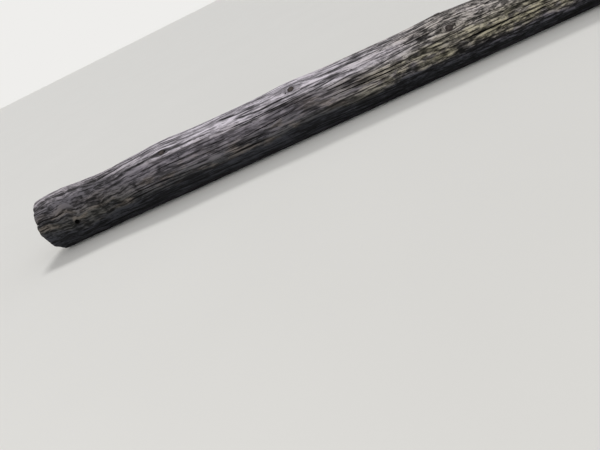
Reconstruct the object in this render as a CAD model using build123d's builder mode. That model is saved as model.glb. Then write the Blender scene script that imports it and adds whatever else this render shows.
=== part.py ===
from build123d import *
from math import cos, exp, pi, radians, sin, tan
import os

# The pole: a tapering softwood log that lies along X on the ground, butt at -X, top at +X.
# It rests on the plane z = 0 in its own stable pose, with its natural bow lying flat.
# Places along the pole are distances from the butt. Places round it are angles
# in degrees from the -Y side: 0 is the face, 90 the upper side, 180 the back.

# Overall size
pole_length = 9144.0
butt_diameter = 277.0
top_diameter = 186.0
bow = 36.0
ovality = 0.016
least_oval = 0.15
oval_wave = 2600.0

# Swelling of the trunk at the butt, the hollow after it, and at each ring of knots
butt_flare = 4.0
butt_flare_length = 170.0
waist = 4.5
waist_place = 350.0
waist_length = 130.0
knot_swelling = 4.0
knot_swelling_length = 110.0
span_length = 762.0
sections_per_span = 6

# Ends: the butt is sawn square with its arris worn round, the top has a sloping roof
butt_wear = 15.0
roof_slope = 15.0

# Framing at the top: one flat gain for a crossarm, and the bolt holes through the pole
gain_from_top = 305.0
gain_height = 118.0
gain_depth = 13.0
bolt_hole_diameter = 17.5
bolt_spacing = 406.0

# How far the cutters of the gain, the sockets and the checks start outside the wood
cutter_over = 25.0

# Knots: dead branches that stay in their sockets, thinner towards the pith
knot_taper = 9.0
knot_depth = 46.0
knot_proud = 3.0
knot_rise = 24.0
knot_edge_wear = 2.0
knot_shrinkage = 0.3

# Rings of knots: place along the pole, then the angle and diameter of each knot
knot_rings = [
    (690.0, [(52.0, 26.0), (168.0, 30.0)]),
    (1335.0, [(61.0, 28.0), (141.0, 32.0)]),
    (2045.0, [(39.0, 30.0), (96.0, 34.0), (188.0, 28.0)]),
    (2760.0, [(14.0, 34.0), (118.0, 30.0)]),
    (3490.0, [(66.0, 32.0), (152.0, 36.0)]),
    (4230.0, [(21.0, 36.0), (101.0, 34.0), (194.0, 32.0)]),
    (4960.0, [(57.0, 38.0), (136.0, 34.0)]),
    (5640.0, [(3.0, 36.0), (89.0, 40.0), (171.0, 38.0)]),
    (6290.0, [(43.0, 38.0), (124.0, 42.0)]),
    (6930.0, [(12.0, 40.0), (79.0, 38.0), (183.0, 42.0)]),
    (7540.0, [(35.0, 42.0), (109.0, 40.0), (160.0, 36.0)]),
    (8110.0, [(67.0, 40.0), (146.0, 44.0)]),
]

# A knot that has dropped out near the butt leaves its hole
knot_hole_place = 190.0
knot_hole_angle = -1.0
knot_hole_diameter = 24.0
knot_hole_depth = 34.0

# Seasoning checks: start and end along the pole, angle at each, width and depth.
# They reach a share of their width and depth at the tips and at the shoulders.
check_tip = 0.08
check_shoulder = 0.8
shoulder_place = 0.22
checks = [
    (610.0, 950.0, 36.0, 35.0, 5.0, 26.0),
    (940.0, 1410.0, 41.0, 40.0, 6.0, 34.0),
    (1050.0, 1330.0, 14.0, 20.0, 5.0, 26.0),
    (1440.0, 1905.0, 14.5, 11.0, 7.0, 40.0),
    (1500.0, 2160.0, 46.0, 47.0, 6.0, 34.0),
    (1895.0, 2440.0, 6.0, 9.0, 8.0, 46.0),
    (2290.0, 3380.0, 17.0, 25.0, 9.0, 52.0),
    (3120.0, 4720.0, 46.0, 53.0, 10.0, 58.0),
    (4480.0, 5900.0, 8.0, 15.0, 8.0, 46.0),
    (5350.0, 7450.0, 58.0, 66.0, 9.0, 44.0),
    (6500.0, 8060.0, 27.0, 21.0, 7.0, 36.0),
    (380.0, 2500.0, 112.0, 121.0, 9.0, 52.0),
    (2050.0, 3900.0, 146.0, 137.0, 8.0, 46.0),
    (3750.0, 5450.0, 116.0, 122.0, 8.0, 46.0),
    (5150.0, 6850.0, 152.0, 147.0, 8.0, 42.0),
    (6700.0, 8400.0, 127.0, 134.0, 7.0, 34.0),
]

# End checks: radial cracks that run in from an end: angle, length, width and depth.
# Halfway in they still have a share of their width and depth.
end_check_halfway = 0.6
butt_checks = [(24.0, 420.0, 7.0, 78.0), (137.0, 560.0, 8.0, 86.0), (262.0, 340.0, 6.0, 70.0)]
top_checks = [(68.0, 380.0, 5.0, 52.0), (196.0, 460.0, 5.0, 56.0)]


def bell(offset, length):
    """A smooth rise and fall, 1 at no offset and near 0 at twice the length."""
    return exp(-((offset / length) ** 2))


def trunk_radius(place):
    """Mean radius: an even taper, the butt flare and waist, and a swelling at each ring of knots."""
    taper = (butt_diameter + (top_diameter - butt_diameter) * place / pole_length) / 2
    flare = butt_flare * bell(place, butt_flare_length)
    hollow = waist * bell(place - waist_place, waist_length)
    swelling = sum(bell(place - ring, knot_swelling_length) for ring, _ in knot_rings)
    return taper + flare - hollow + knot_swelling * swelling


def oval(place):
    """How much wider than high the trunk is here: it lies on its flatter side."""
    return ovality * (least_oval + (1 + cos(2 * pi * place / oval_wave)) / 2)


def half_width(place):
    return trunk_radius(place) * (1 + oval(place))


def half_height(place):
    return trunk_radius(place) * (1 - oval(place))


def heart(place):
    """Centre of the section: bowed sideways, and high enough to rest on the ground."""
    part_way = place / pole_length
    return Vector(place - pole_length / 2, -4 * bow * part_way * (1 - part_way), half_height(place))


def outward(angle):
    return Vector(0, -cos(radians(angle)), sin(radians(angle)))


def sideways(angle):
    return Vector(0, sin(radians(angle)), cos(radians(angle)))


def skin(place, angle):
    """Point on the trunk's surface."""
    across = half_width(place) * cos(radians(angle))
    up = half_height(place) * sin(radians(angle))
    return heart(place) + Vector(0, -across, up)


def section_plane(place):
    return Plane(origin=heart(place), x_dir=(0, 1, 0), z_dir=(1, 0, 0))


def check_section(place, angle, width, depth):
    """Triangle across a check: its point towards the pith, its base outside the bark line."""
    surface = skin(place, angle)
    point = surface - outward(angle) * depth
    widening = (depth + cutter_over) / depth
    half_base = sideways(angle) * (width / 2 * widening)
    base = surface + outward(angle) * cutter_over
    corners = [point, base + half_base, base - half_base]
    flat = Plane(origin=(place - pole_length / 2, 0, 0), x_dir=(0, 1, 0), z_dir=(1, 0, 0))
    with BuildSketch(flat) as triangle:
        with BuildLine():
            Polyline([flat.to_local_coords(corner) for corner in corners], close=True)
        make_face()
    return triangle.sketch.faces()[0]


def check_cutter(steps):
    """Wedge through the sections that the steps give: place, angle, width and depth."""
    sections = [check_section(*step) for step in steps]
    return loft(sections, ruled=True, mode=Mode.PRIVATE)


def seasoning_check(start, end, angle_in, angle_out, width, depth):
    """A check is widest in its middle and runs out to a thin tip at both ends."""
    shares = [
        (0, check_tip),
        (shoulder_place, check_shoulder),
        (0.5, 1),
        (1 - shoulder_place, check_shoulder),
        (1, check_tip),
    ]
    steps = []
    for way, share in shares:
        place = start + (end - start) * way
        angle = angle_in + (angle_out - angle_in) * way
        steps.append((place, angle, width * share, depth * share))
    return check_cutter(steps)


def end_check(end_place, inward, angle, length, width, depth):
    """A check that is open at an end of the pole and closes inwards."""
    beyond = end_place - inward * cutter_over
    halfway = end_place + inward * length / 2
    tip = end_place + inward * length
    return check_cutter([
        (beyond, angle, width, depth),
        (halfway, angle, width * end_check_halfway, depth * end_check_halfway),
        (tip, angle, width * check_tip, depth * check_tip),
    ])


def knot_plane(place, angle):
    """Plane on the trunk's surface whose normal is the knot's axis, leaning to the top."""
    lean = outward(angle) * cos(radians(knot_rise)) + Vector(sin(radians(knot_rise)), 0, 0)
    return Plane(origin=skin(place, angle), x_dir=sideways(angle), z_dir=lean)


def knot_radius(diameter, height):
    """Radius of a knot at a height over the trunk's surface, or below it where negative."""
    return diameter / 2 + height * tan(radians(knot_taper))


# Shaft: lofts through oval sections, end to end, then its ends, framing, sockets and checks
with BuildPart() as shaft:
    spans = round(pole_length / span_length)
    section_spacing = pole_length / (spans * sections_per_span)
    for span in range(spans):
        for step in range(sections_per_span + 1):
            place = (span * sections_per_span + step) * section_spacing
            with BuildSketch(section_plane(place)):
                Ellipse(half_width(place), half_height(place))
        loft()
    butt_edge = shaft.edges().group_by(Axis.X)[0]
    fillet(butt_edge, radius=butt_wear)

    # Roof: the top slopes back from the face side, which keeps the full length
    roof_edge = skin(pole_length, 0)
    roof_normal = (cos(radians(roof_slope)), sin(radians(roof_slope)), 0)
    split(bisect_by=Plane(origin=roof_edge, x_dir=(0, 0, 1), z_dir=roof_normal), keep=Keep.BOTTOM)

    # Gain: a slab cut square across the face for the crossarm
    gain_place = pole_length - gain_from_top
    gain_floor = skin(gain_place, 0) + Vector(0, gain_depth, 0)
    gain_plane = Plane(origin=gain_floor, x_dir=(1, 0, 0), z_dir=(0, -1, 0))
    with BuildSketch(gain_plane):
        Rectangle(gain_height, 2 * trunk_radius(gain_place))
    extrude(amount=gain_depth + cutter_over, mode=Mode.SUBTRACT)

    # Bolt holes right through: the crossarm's in the gain, the brace's below it
    with BuildSketch(gain_plane):
        with Locations((0, 0), (-bolt_spacing, 0)):
            Circle(bolt_hole_diameter / 2)
    extrude(amount=butt_diameter, both=True, mode=Mode.SUBTRACT)

    # Sockets of the knots, and the hole that a lost knot left
    for ring, knots in knot_rings:
        for angle, diameter in knots:
            with BuildSketch(knot_plane(ring, angle).offset(cutter_over)):
                Circle(knot_radius(diameter, cutter_over))
    extrude(amount=-(knot_depth + cutter_over), taper=knot_taper, mode=Mode.SUBTRACT)
    with BuildSketch(knot_plane(knot_hole_place, knot_hole_angle).offset(cutter_over)):
        Circle(knot_radius(knot_hole_diameter, cutter_over))
    extrude(amount=-(knot_hole_depth + cutter_over), taper=knot_taper, mode=Mode.SUBTRACT)

    # Seasoning checks along the trunk and from its two ends
    cutters = [seasoning_check(*check) for check in checks]
    cutters += [end_check(0.0, 1, *check) for check in butt_checks]
    cutters += [end_check(pole_length, -1, *check) for check in top_checks]
    add(cutters, mode=Mode.SUBTRACT)

shaft.part.label = "pole_shaft"

# Knots: each dead branch stands in its own socket, and the rim of its end is worn away
knot_heights = [(-knot_depth, 0.0), (knot_proud - knot_edge_wear, 0.0), (knot_proud, knot_edge_wear)]
pieces = {"pole_shaft": shaft.part}
letters = "abcdef"
for number, (ring, knots) in enumerate(knot_rings, start=1):
    for letter, (angle, diameter) in zip(letters, knots):
        with BuildPart() as knot:
            for height, worn in knot_heights:
                with BuildSketch(knot_plane(ring, angle).offset(height)):
                    Circle(knot_radius(diameter, height) - knot_shrinkage - worn)
            loft(ruled=True)
        pieces[f"knot_{number}{letter}"] = knot.part

# Placing: the middle of the whole pole's footprint is the origin, on the ground
reach = Compound(list(pieces.values())).bounding_box()
to_origin = Pos(-reach.center().X, -reach.center().Y, -reach.min.Z)

os.makedirs("parts", exist_ok=True)
for name, piece in pieces.items():
    placed = to_origin * piece
    placed.label = name
    export_step(placed, f"parts/{name}.step")
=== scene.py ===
from functools import partial
from math import cos, radians, sin, tan

import bpy
import numpy as np
from bpy.props import FloatProperty, FloatVectorProperty, IntProperty, PointerProperty
from mathutils import Matrix, Vector


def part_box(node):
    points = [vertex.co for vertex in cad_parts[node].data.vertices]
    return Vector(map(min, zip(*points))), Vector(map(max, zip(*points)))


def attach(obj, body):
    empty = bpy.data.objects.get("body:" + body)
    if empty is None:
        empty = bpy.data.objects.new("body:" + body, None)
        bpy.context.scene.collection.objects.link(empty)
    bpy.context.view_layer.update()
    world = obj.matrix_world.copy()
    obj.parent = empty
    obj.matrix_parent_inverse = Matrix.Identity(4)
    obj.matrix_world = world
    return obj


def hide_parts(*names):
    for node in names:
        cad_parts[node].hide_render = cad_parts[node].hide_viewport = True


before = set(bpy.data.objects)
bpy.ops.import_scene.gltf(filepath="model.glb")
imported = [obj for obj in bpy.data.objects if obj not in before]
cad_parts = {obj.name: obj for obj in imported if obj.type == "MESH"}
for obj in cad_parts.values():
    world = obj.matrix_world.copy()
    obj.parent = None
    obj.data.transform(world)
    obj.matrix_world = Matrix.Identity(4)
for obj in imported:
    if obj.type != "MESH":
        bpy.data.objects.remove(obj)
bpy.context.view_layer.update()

bl_info = {
    "name": "Weathered Utility Pole",
    "version": (1, 0, 0),
    "blender": (4, 5, 0),
    "location": "View3D > Sidebar > Pole",
    "description": "A bare softwood pole with its checks, knots and splinters",
    "category": "Add Mesh",
}

shaft_low, shaft_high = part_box("pole_shaft")
pole_length = shaft_high.x - shaft_low.x
mm = 0.001

# Places along the pole are distances from the butt in mm. Places round it are angles in degrees
# from the -Y side: 0 is the face, 90 the upper side, 180 the back.

# Rings of knots: place along the pole, then the angle and diameter of each knot
knot_rings = [
    (690, [(52, 26), (168, 30)]),
    (1335, [(61, 28), (141, 32)]),
    (2045, [(39, 30), (96, 34), (188, 28)]),
    (2760, [(14, 34), (118, 30)]),
    (3490, [(66, 32), (152, 36)]),
    (4230, [(21, 36), (101, 34), (194, 32)]),
    (4960, [(57, 38), (136, 34)]),
    (5640, [(3, 36), (89, 40), (171, 38)]),
    (6290, [(43, 38), (124, 42)]),
    (6930, [(12, 40), (79, 38), (183, 42)]),
    (7540, [(35, 42), (109, 40), (160, 36)]),
    (8110, [(67, 40), (146, 44)]),
]
knots = [
    (f"knot_{number}{letter}", place * mm, radians(angle), diameter * mm / 2)
    for number, (place, ring) in enumerate(knot_rings, start=1)
    for letter, (angle, diameter) in zip("abc", ring)
]

# The hole of a lost knot: place, angle, diameter and depth
knot_hole = (190, -1, 24, 34)

# Seasoning checks: start and end along the pole, angle at each, width and depth
checks = [
    (610, 950, 36, 35, 5, 26),
    (940, 1410, 41, 40, 6, 34),
    (1050, 1330, 14, 20, 5, 26),
    (1440, 1905, 14.5, 11, 7, 40),
    (1500, 2160, 46, 47, 6, 34),
    (1895, 2440, 6, 9, 8, 46),
    (2290, 3380, 17, 25, 9, 52),
    (3120, 4720, 46, 53, 10, 58),
    (4480, 5900, 8, 15, 8, 46),
    (5350, 7450, 58, 66, 9, 44),
    (6500, 8060, 27, 21, 7, 36),
    (380, 2500, 112, 121, 9, 52),
    (2050, 3900, 146, 137, 8, 46),
    (3750, 5450, 116, 122, 8, 46),
    (5150, 6850, 152, 147, 8, 42),
    (6700, 8400, 127, 134, 7, 34),
]

# Small checks that the photograph shows, in the same order of values
small_checks = [
    (550, 700, 57, 56, 3.5, 12),
    (820, 900, 43, 43, 3.5, 12),
    (880, 985, 27, 26, 3.5, 12),
    (950, 1200, 0, -1, 4.5, 16),
    (1040, 1170, 59, 59, 4, 14),
    (1180, 1440, 30, 31, 3.5, 12),
    (1490, 1640, 66, 65, 4, 14),
    (1560, 1800, 26, 27, 3.5, 12),
    (2070, 2280, -16, -15, 4.5, 16),
    (2060, 2160, 15, 15, 3.5, 12),
    (2380, 2640, 40, 41, 4, 14),
]

# End checks, radial and open at an end of the pole: angle, length, width and depth
butt_checks = [
    (24, 420, 4.5, 78),
    (137, 560, 8, 86),
    (262, 340, 6, 70),
    (47, 100, 6, 34),
    (88, 90, 4, 36),
    (178, 70, 3, 26),
    (205, 110, 4, 40),
    (-38, 80, 3.5, 30),
    (-8, 55, 3, 20),
]
top_checks = [(68, 380, 5, 52), (196, 460, 5, 56), (-20, 70, 3, 26), (128, 90, 3.5, 34)]

# Wide patches where the wood is paler or darker than round them: place, angle, reach along the
# pole, reach round it in degrees, and how much darker, below 0 where it is paler
weathered_patches = [
    (100, 30, 110, 7, -0.7),
    (400, 70, 130, 11, -0.7),
    (940, 42, 200, 5, 0.4),
    (1400, 65, 230, 14, -0.95),
    (1420, 15, 190, 7, 0.7),
    (2230, 29, 200, 7, -0.95),
]

# Dark marks across the grain: place, first and last angle, width
cross_marks = [
    (90, 18, 62, 9),
    (255, 26, 54, 7),
    (330, -6, 22, 7),
    (520, 0, 42, 10),
    (660, 4, 32, 10),
    (1660, 60, 92, 15),
    (1765, 60, 88, 15),
    (2330, 24, 52, 15),
]

# Small pits, some at the ends of checks: place, angle, diameter
pits = [
    (1310, 57, 13), (1288, 63, 9), (1352, 66, 9), (1405, 70, 8), (2010, 41, 11), (2030, 36, 9),
    (1900, 27, 11), (2070, 25, 12), (2120, 28, 10), (2245, 39, 12), (1810, 18, 10), (1850, 16, 9),
    (1560, 33, 8), (2190, 51, 9), (2400, 30, 11), (760, 30, 9), (880, 48, 8), (1120, 34, 9),
]

# Framing at the top: place of the flat gain, its height along the pole and depth, and the bolts
gain_place = pole_length / mm - 305
gain_height = 118
gain_depth = 13
bolt_places = (gain_place, gain_place - 406)
bolt_hole_diameter = 17.5

# Reach along the pole, in m, of the butt's flare, of the waist behind it and its middle, and of
# the swelling at a ring of knots
flare_reach, waist_reach, waist_place, swelling_reach = 0.17, 0.13, 0.35, 0.11

# How much of the pole the photograph shows, in mm
part_in_view = 2700

# How many fine checks and splinters there are, and the sharpest edges that are shaded smooth
fine_check_count, splinter_count = 230, 190
sharp_wood_edge, sharp_knot_edge = 38, 50

# First seeds of the random draws for each group of shapes
check_seed, butt_seed, top_seed, socket_seed, pit_seed = 100, 300, 400, 500, 600


def linear(hex_colour):
    """sRGB hex to linear RGB: v / 12.92 in the darks, else ((v + 0.055) / 1.055) ^ 2.4."""
    values = [int(hex_colour[i:i + 2], 16) / 255 for i in (1, 3, 5)]
    return tuple(v / 12.92 if v <= 0.04045 else ((v + 0.055) / 1.055) ** 2.4 for v in values)


# Kinds of settings


def a_number(name, description, value):
    """A setting that is a plain number."""
    return FloatProperty(name=name, description=description, default=value)


def a_length(name, description, metres):
    """A setting that is a length."""
    return FloatProperty(name=name, description=description, default=metres, unit="LENGTH")


def an_angle(name, description, degrees):
    """A setting that is an angle, given here in degrees."""
    return FloatProperty(
        name=name, description=description, default=radians(degrees), subtype="ANGLE")


def a_colour(name, description, hex_colour):
    """A setting that is a colour, given here as sRGB hex."""
    return FloatVectorProperty(
        name=name, description=description, default=linear(hex_colour), subtype="COLOR")


class TrunkSettings(bpy.types.PropertyGroup):
    """Sizes of the trunk, as the frame's solids have them, and how far its surface has worn."""

    butt_diameter: a_length(
        "Butt diameter", "Trunk diameter at the butt without its flare", 277 * mm)
    top_diameter: a_length("Top diameter", "Trunk diameter at the top", 186 * mm)
    bow: a_length("Bow", "How far the middle bends to the face side", 36 * mm)
    ovality: a_number("Ovality", "How much wider than high the trunk may be", 0.016)
    oval_wave: a_length("Oval wave", "Length over which the ovality comes and goes", 2.6)
    butt_flare: a_length("Butt flare", "Swelling of the radius at the butt", 4 * mm)
    waist: a_length("Waist", "Hollow of the radius behind the butt flare", 4.5 * mm)
    knot_swelling: a_length(
        "Knot swelling", "Swelling of the radius at each ring of knots", 4 * mm)
    butt_wear: a_length("Butt wear", "Rounding of the butt's arris", 17 * mm)
    roof_slope: an_angle("Roof slope", "How far the top slopes back from the face side", 15)
    wear: a_length(
        "Wear", "How far the weathered surface lies under the solid's on average", 1.3 * mm)
    edge_rot: a_length("Edge rot", "How far the upper edge of the butt has worn back", 10 * mm)
    columns: IntProperty(name="Columns", description="Points round the trunk", default=172, min=24)
    crowding: a_number("Crowding", "How much closer the points are on the face side", 0.32)
    close_spacing: a_length(
        "Close spacing", "Distance of the rows of points near the butt", 9 * mm)
    middle_spacing: a_length(
        "Middle spacing", "Distance of the rows up to a third of the pole", 16 * mm)
    wide_spacing: a_length("Wide spacing", "Distance of the rows on the rest of the pole", 55 * mm)


class KnotSettings(bpy.types.PropertyGroup):
    """Sizes of the dead branches and their sockets."""

    taper: an_angle("Taper", "How fast a knot thins to the pith", 9)
    rise: an_angle("Rise", "How far a knot leans to the pole's top", 24)
    depth: a_length("Depth", "How deep a knot goes", 46 * mm)
    proud: a_length("Proud", "How far a knot stands out", 3 * mm)
    shrinkage: a_length("Shrinkage", "Gap between a knot and its socket", 0.3 * mm)


class FinishSettings(bpy.types.PropertyGroup):
    """Colours of the weathered wood."""

    bleached: a_colour("Bleached", "Sun-bleached upper side", "#b6b0b8")
    grey: a_colour("Grey", "Greyed wood at the upper side's edge", "#989298")
    rough_grey: a_colour("Rough grey", "Upper side where it has weathered rough", "#9c9592")
    brown_grey: a_colour("Brown grey", "Half sheltered wood", "#77727a")
    # Painted shade: the lower side's colour is darker than its wood alone, for the shade on that
    # side
    shaded_damp: a_colour("Damp", "Dark wood that seldom dries", "#4a494f")
    butt_grey: a_colour("Butt grey", "Stained wood of the end that was once buried", "#5b585e")
    # Painted shade: the underside's nearly black stands mostly for the shade under the pole, over
    # dark moist wood
    shaded_wet: a_colour("Wet", "Nearly black wood of the underside", "#323338")
    algae: a_colour("Algae", "Olive film of algae and lichen", "#a39d88")
    tan: a_colour("Tan", "Younger wood where the grey has worn off", "#857970")
    # Painted shade: the near black inside checks, holes and sockets stands for the shadow in them
    inside: a_colour("Inside", "Dark inside of the checks", "#1a1817")
    end_grain: a_colour("End grain", "Weathered sawn ends", "#77706a")
    knot: a_colour("Knot", "Weathered ends of the dead branches", "#4c4543")


class StageSettings(bpy.types.PropertyGroup):
    """Camera, lamps and floor."""

    camera_place: FloatVectorProperty(
        name="Camera place", description="Where the camera stands", subtype="TRANSLATION",
        default=(-3.2473, -2.1269, 0.7144))
    camera_azimuth: an_angle("Azimuth", "Turn of the view from square on, towards the butt", 6.13)
    camera_elevation: an_angle("Elevation", "How far the view looks down", 28.02)
    camera_roll: an_angle("Roll", "How far the camera leans to its right", -26.71)
    camera_lens: a_number("Lens", "Focal length for a 36 mm wide sensor, in mm", 27.6)
    key_strength: a_number("Key", "Strength of the high lamp", 1.9)
    fill_strength: a_number("Fill", "Strength of the front lamp", 0.55)
    sky_strength: a_number("Sky", "Strength of the soft light", 0.45)
    floor_colour: a_colour("Floor", "Pale floor", "#e4e3e0")
    backdrop_colour: a_colour("Backdrop", "Pale background behind the floor", "#efeeec")
    floor_size: a_length("Floor size", "Half the side of the floor", 60)


# Form of the trunk


def bell(offset, length):
    """1 at no offset and near 0 at twice the length: exp(-(offset / length)^2)."""
    return np.exp(-((offset / length) ** 2))


def smoothstep(value):
    """0 up to 0, 1 from 1 on, and 3v^2 - 2v^3 between."""
    value = np.clip(value, 0, 1)
    return value * value * (3 - 2 * value)


def lattice_noise(turn, place, cells, length, seed):
    """Random heights from -1 to 1 on a lattice, `cells` round the pole and one each `length`
    along it, blended by smoothstep. It closes on itself after each whole turn."""
    # The lattice starts two cells before the butt and ends four past the top
    rows = int(pole_length / length) + 6
    heights = np.random.default_rng(seed).uniform(-1, 1, (rows, cells))
    across = np.mod(turn, 1) * cells
    along = np.clip(place / length + 2, 0, rows - 1.001)
    column = np.floor(across).astype(int)
    row = np.floor(along).astype(int)
    side = smoothstep(across - column)
    ahead = smoothstep(along - row)
    here, there = column % cells, (column + 1) % cells
    low = heights[row, here] + (heights[row, there] - heights[row, here]) * side
    high = heights[row + 1, here] + (heights[row + 1, there] - heights[row + 1, here]) * side
    return low + (high - low) * ahead


def trunk_radius(trunk, place):
    """Even taper from butt to top, plus a bell for the flare, less one for the waist, plus one
    for each ring of knots."""
    share = place / pole_length
    radius = (trunk.butt_diameter + (trunk.top_diameter - trunk.butt_diameter) * share) / 2
    radius = radius + trunk.butt_flare * bell(place, flare_reach)
    radius = radius - trunk.waist * bell(place - waist_place, waist_reach)
    for ring, _ in knot_rings:
        radius = radius + trunk.knot_swelling * bell(place - ring * mm, swelling_reach)
    return radius


def section(trunk, place):
    """Half width and half height of the oval section: radius times 1 plus and minus the oval,
    which comes and goes along the pole by a cosine."""
    radius = trunk_radius(trunk, place)
    oval = trunk.ovality * (1.3 + np.cos(2 * np.pi * place / trunk.oval_wave)) / 2
    return radius * (1 + oval), radius * (1 - oval)


def bend(trunk, place):
    """Sideways place of the heart: a parabola of the bow's height between the two ends."""
    share = place / pole_length
    return -4 * trunk.bow * share * (1 - share)


def sideways_shift(trunk):
    """Distance that brings the formula's back side to the back of the frame's shaft."""
    place = np.linspace(trunk.butt_wear, pole_length, 4000)
    half_width, _ = section(trunk, place)
    return shaft_high.y - np.max(bend(trunk, place) + half_width)


def wood_point(trunk, place, angle, share=1.0, sink=0.0):
    """Heart plus the section's radius at this angle, times share, less the sink."""
    half_width, half_height = section(trunk, place)
    y = bend(trunk, place) + sideways_shift(trunk) - (half_width * share - sink) * np.cos(angle)
    z = half_height + (half_height * share - sink) * np.sin(angle)
    return np.stack(np.broadcast_arrays(place - pole_length / 2, y, z), axis=-1)


def trunk_coordinates(trunk, points):
    """Back from points to place along the pole, angle round it and share of the radius."""
    place = points[:, 0] + pole_length / 2
    half_width, half_height = section(trunk, place)
    out = -(points[:, 1] - bend(trunk, place) - sideways_shift(trunk)) / half_width
    up = (points[:, 2] - half_height) / half_height
    return place, np.arctan2(up, out), np.hypot(out, up)


def wander(place, angle):
    """Waver of the grain round the pole, in radians: long slow waves, short ones that differ from
    strand to strand, and near the butt strong ones that do so too."""
    turn = angle / (2 * np.pi)
    slow = 0.011 * np.sin(place * 3.3 + 0.4) + 0.006 * np.sin(place * 13.1 + 1.2)
    short = 0.014 * lattice_noise(turn, place, 18, 0.16, 21)
    wavy = 0.080 * lattice_noise(turn, place, 17, 0.055, 22) * bell(place, 0.5)
    return slow + short + wavy


def turn_from(angle, other):
    """Turn from the other angle to this one, by the shorter way round."""
    return np.angle(np.exp(1j * (angle - other)))


def grain_angle(trunk, place, angle):
    """Angle that a strand of grain would have without its waver and its way round the knots. It
    passes a knot as water passes a post: b (1 - r^2 / (b^2 + d^2)), where b is the distance to
    the side, d 0.45 of that along the grain, r the knot's radius, and b^2 + d^2 at least
    (1.1 r)^2."""
    strand = angle - wander(place, angle)
    radius = trunk_radius(trunk, place)
    for _, knot_place, knot_angle, knot_radius in knots:
        off = turn_from(strand, knot_angle) * radius
        reach = np.hypot(off, 0.45 * (place - knot_place)) / knot_radius
        strand = strand - off / radius / np.maximum(reach, 1.1) ** 2
    return strand


def knot_reaches(trunk, place, angle, along):
    """Distance from each knot in its radii, where the way along the pole counts `along` times:
    sqrt(b^2 + (along d)^2) / r, for b to the side, d along the pole and the knot's radius r."""
    radius = trunk_radius(trunk, place)
    for _, knot_place, knot_angle, knot_radius in knots:
        off = turn_from(angle, knot_angle) * radius
        yield np.hypot(off, (place - knot_place) * along) / knot_radius


def seams(turn, place):
    """Long open seams between the strands. The phase grows with the turn round the pole, bent by
    noise, and passes a whole cycle at each seam. The second value is how open the seam is."""
    phase = 2 * np.pi * (
        44 * turn + 1.5 * lattice_noise(turn, place, 9, 1.1, 11)
        + 0.6 * lattice_noise(turn, place, 28, 0.45, 12)
    )
    # More of them are open past 1.8 m, and fewer near the butt
    often = 0.05 + 0.22 * smoothstep((place - 1.8) / 0.5) - 0.3 * bell(place, 0.4)
    open_share = smoothstep((lattice_noise(turn, place, 24, 0.33, 13) + often) / 0.4)
    return phase, open_share


def scars(place, angle):
    """Ragged marks across the grain: a bell over the distance along the pole from a line that
    jumps to and fro, faded out at the first and last angle."""
    turn = angle / (2 * np.pi)
    ragged = 11 * mm * lattice_noise(turn, 0 * place, 67, 1.0, 14)
    ragged = ragged + 9 * mm * lattice_noise(turn, 0 * place, 23, 1.0, 15)
    total = 0 * place * angle
    for mark_place, first, last, width in cross_marks:
        inside = smoothstep((angle - radians(first)) / 0.12 + 0.5)
        inside = inside * smoothstep((radians(last) - angle) / 0.12 + 0.5)
        total = total + inside * bell(place + ragged - mark_place * mm, width * mm * 0.8)
    patchy = smoothstep(lattice_noise(turn, place, 41, 0.05, 16) * 1.3 + 0.6)
    return np.minimum(total, 1) * patchy


def sink_parts(trunk, place, angle):
    """The trunk's relief in two parts, both measured inwards: the even wear, and the pattern of
    ridges, strands, seams, broken fibre and scars about it."""
    turn = grain_angle(trunk, place, angle) / (2 * np.pi)
    butt_zone = bell(place, 0.5)
    # Ridges, strands and hollows: how many go round the pole, their length in m and their seed
    pattern = sum(0.9 * mm * lattice_noise(turn, place, cells, length, seed)
                  for cells, length, seed in ((27, 0.8, 1), (50, 0.26, 2), (11, 0.3, 4)))
    # Crests are sharp and gaps round where the butt's fibre has broken up
    crests = np.abs(lattice_noise(turn, place, 48, 0.058, 3))
    broken = (5.0 * crests - 1.8) * mm * butt_zone
    phase, open_share = seams(turn, place)
    groove = 1.7 * mm * open_share * smoothstep((np.cos(phase) - 0.3) / 0.65)
    pattern = pattern + broken + groove + 1.3 * mm * scars(place, angle)
    # The butt's upper edge has rotted back further than the rest
    worn = trunk.edge_rot * bell(place, 0.08) * smoothstep((np.sin(angle) + 0.1) / 0.9)
    return trunk.wear + 1.3 * mm * butt_zone + worn, pattern


def relief(trunk, place, angle):
    """How far the weathered surface lies under the smooth trunk: wear plus pattern, less a collar
    of swollen grain round each knot, but always a little."""
    wear, pattern = sink_parts(trunk, place, angle)
    sink = wear + pattern
    for reach in knot_reaches(trunk, place, angle, 0.8):
        sink = sink - 0.9 * mm * bell(reach - 1.35, 0.45)
    return np.maximum(sink, 0.15 * mm)


def shelter(place):
    """How much further down the side the wood has bleached, and the painted shade begins, as a
    sine,
    at each place along the pole: least at the butt, which was once buried, and most from two metres
    on."""
    return np.interp(place, (0.4, 0.6, 0.85, 1.4, 1.95, 2.6, 3.6, 4.5),
                     (-0.30, -0.08, 0.02, 0.09, 0.36, 0.50, 0.48, 0.20))


def stains(trunk, place, angle):
    """1 where the wood is stained dark: the scars, and a bell over the distance from each knot,
    drawn out along the grain. The weathered patches are bells that add to that. Below 0 on the
    pale ones and at the pale lower lip of the lost knot's hole."""
    dark = scars(place, angle)
    for reach in knot_reaches(trunk, place, angle, 0.45):
        dark = np.maximum(dark, 0.6 * bell(np.maximum(reach - 0.9, 0), 0.4))
    for patch_place, patch_angle, along, across, darker in weathered_patches:
        turn = turn_from(angle, radians(patch_angle))
        dark = dark + (darker * bell(place - patch_place * mm, along * mm)
                       * bell(turn, radians(across)))
    hole_place, hole_angle, hole_diameter, _ = knot_hole
    off = (angle - radians(hole_angle)) * trunk_radius(trunk, place)
    reach = np.hypot(off + 0.004, (place - hole_place * mm) * 0.75)
    lip = bell(reach - 0.75 * hole_diameter * mm, 0.006) * smoothstep(-off / 0.01)
    return dark - lip


# Meshes from grids of points


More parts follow.
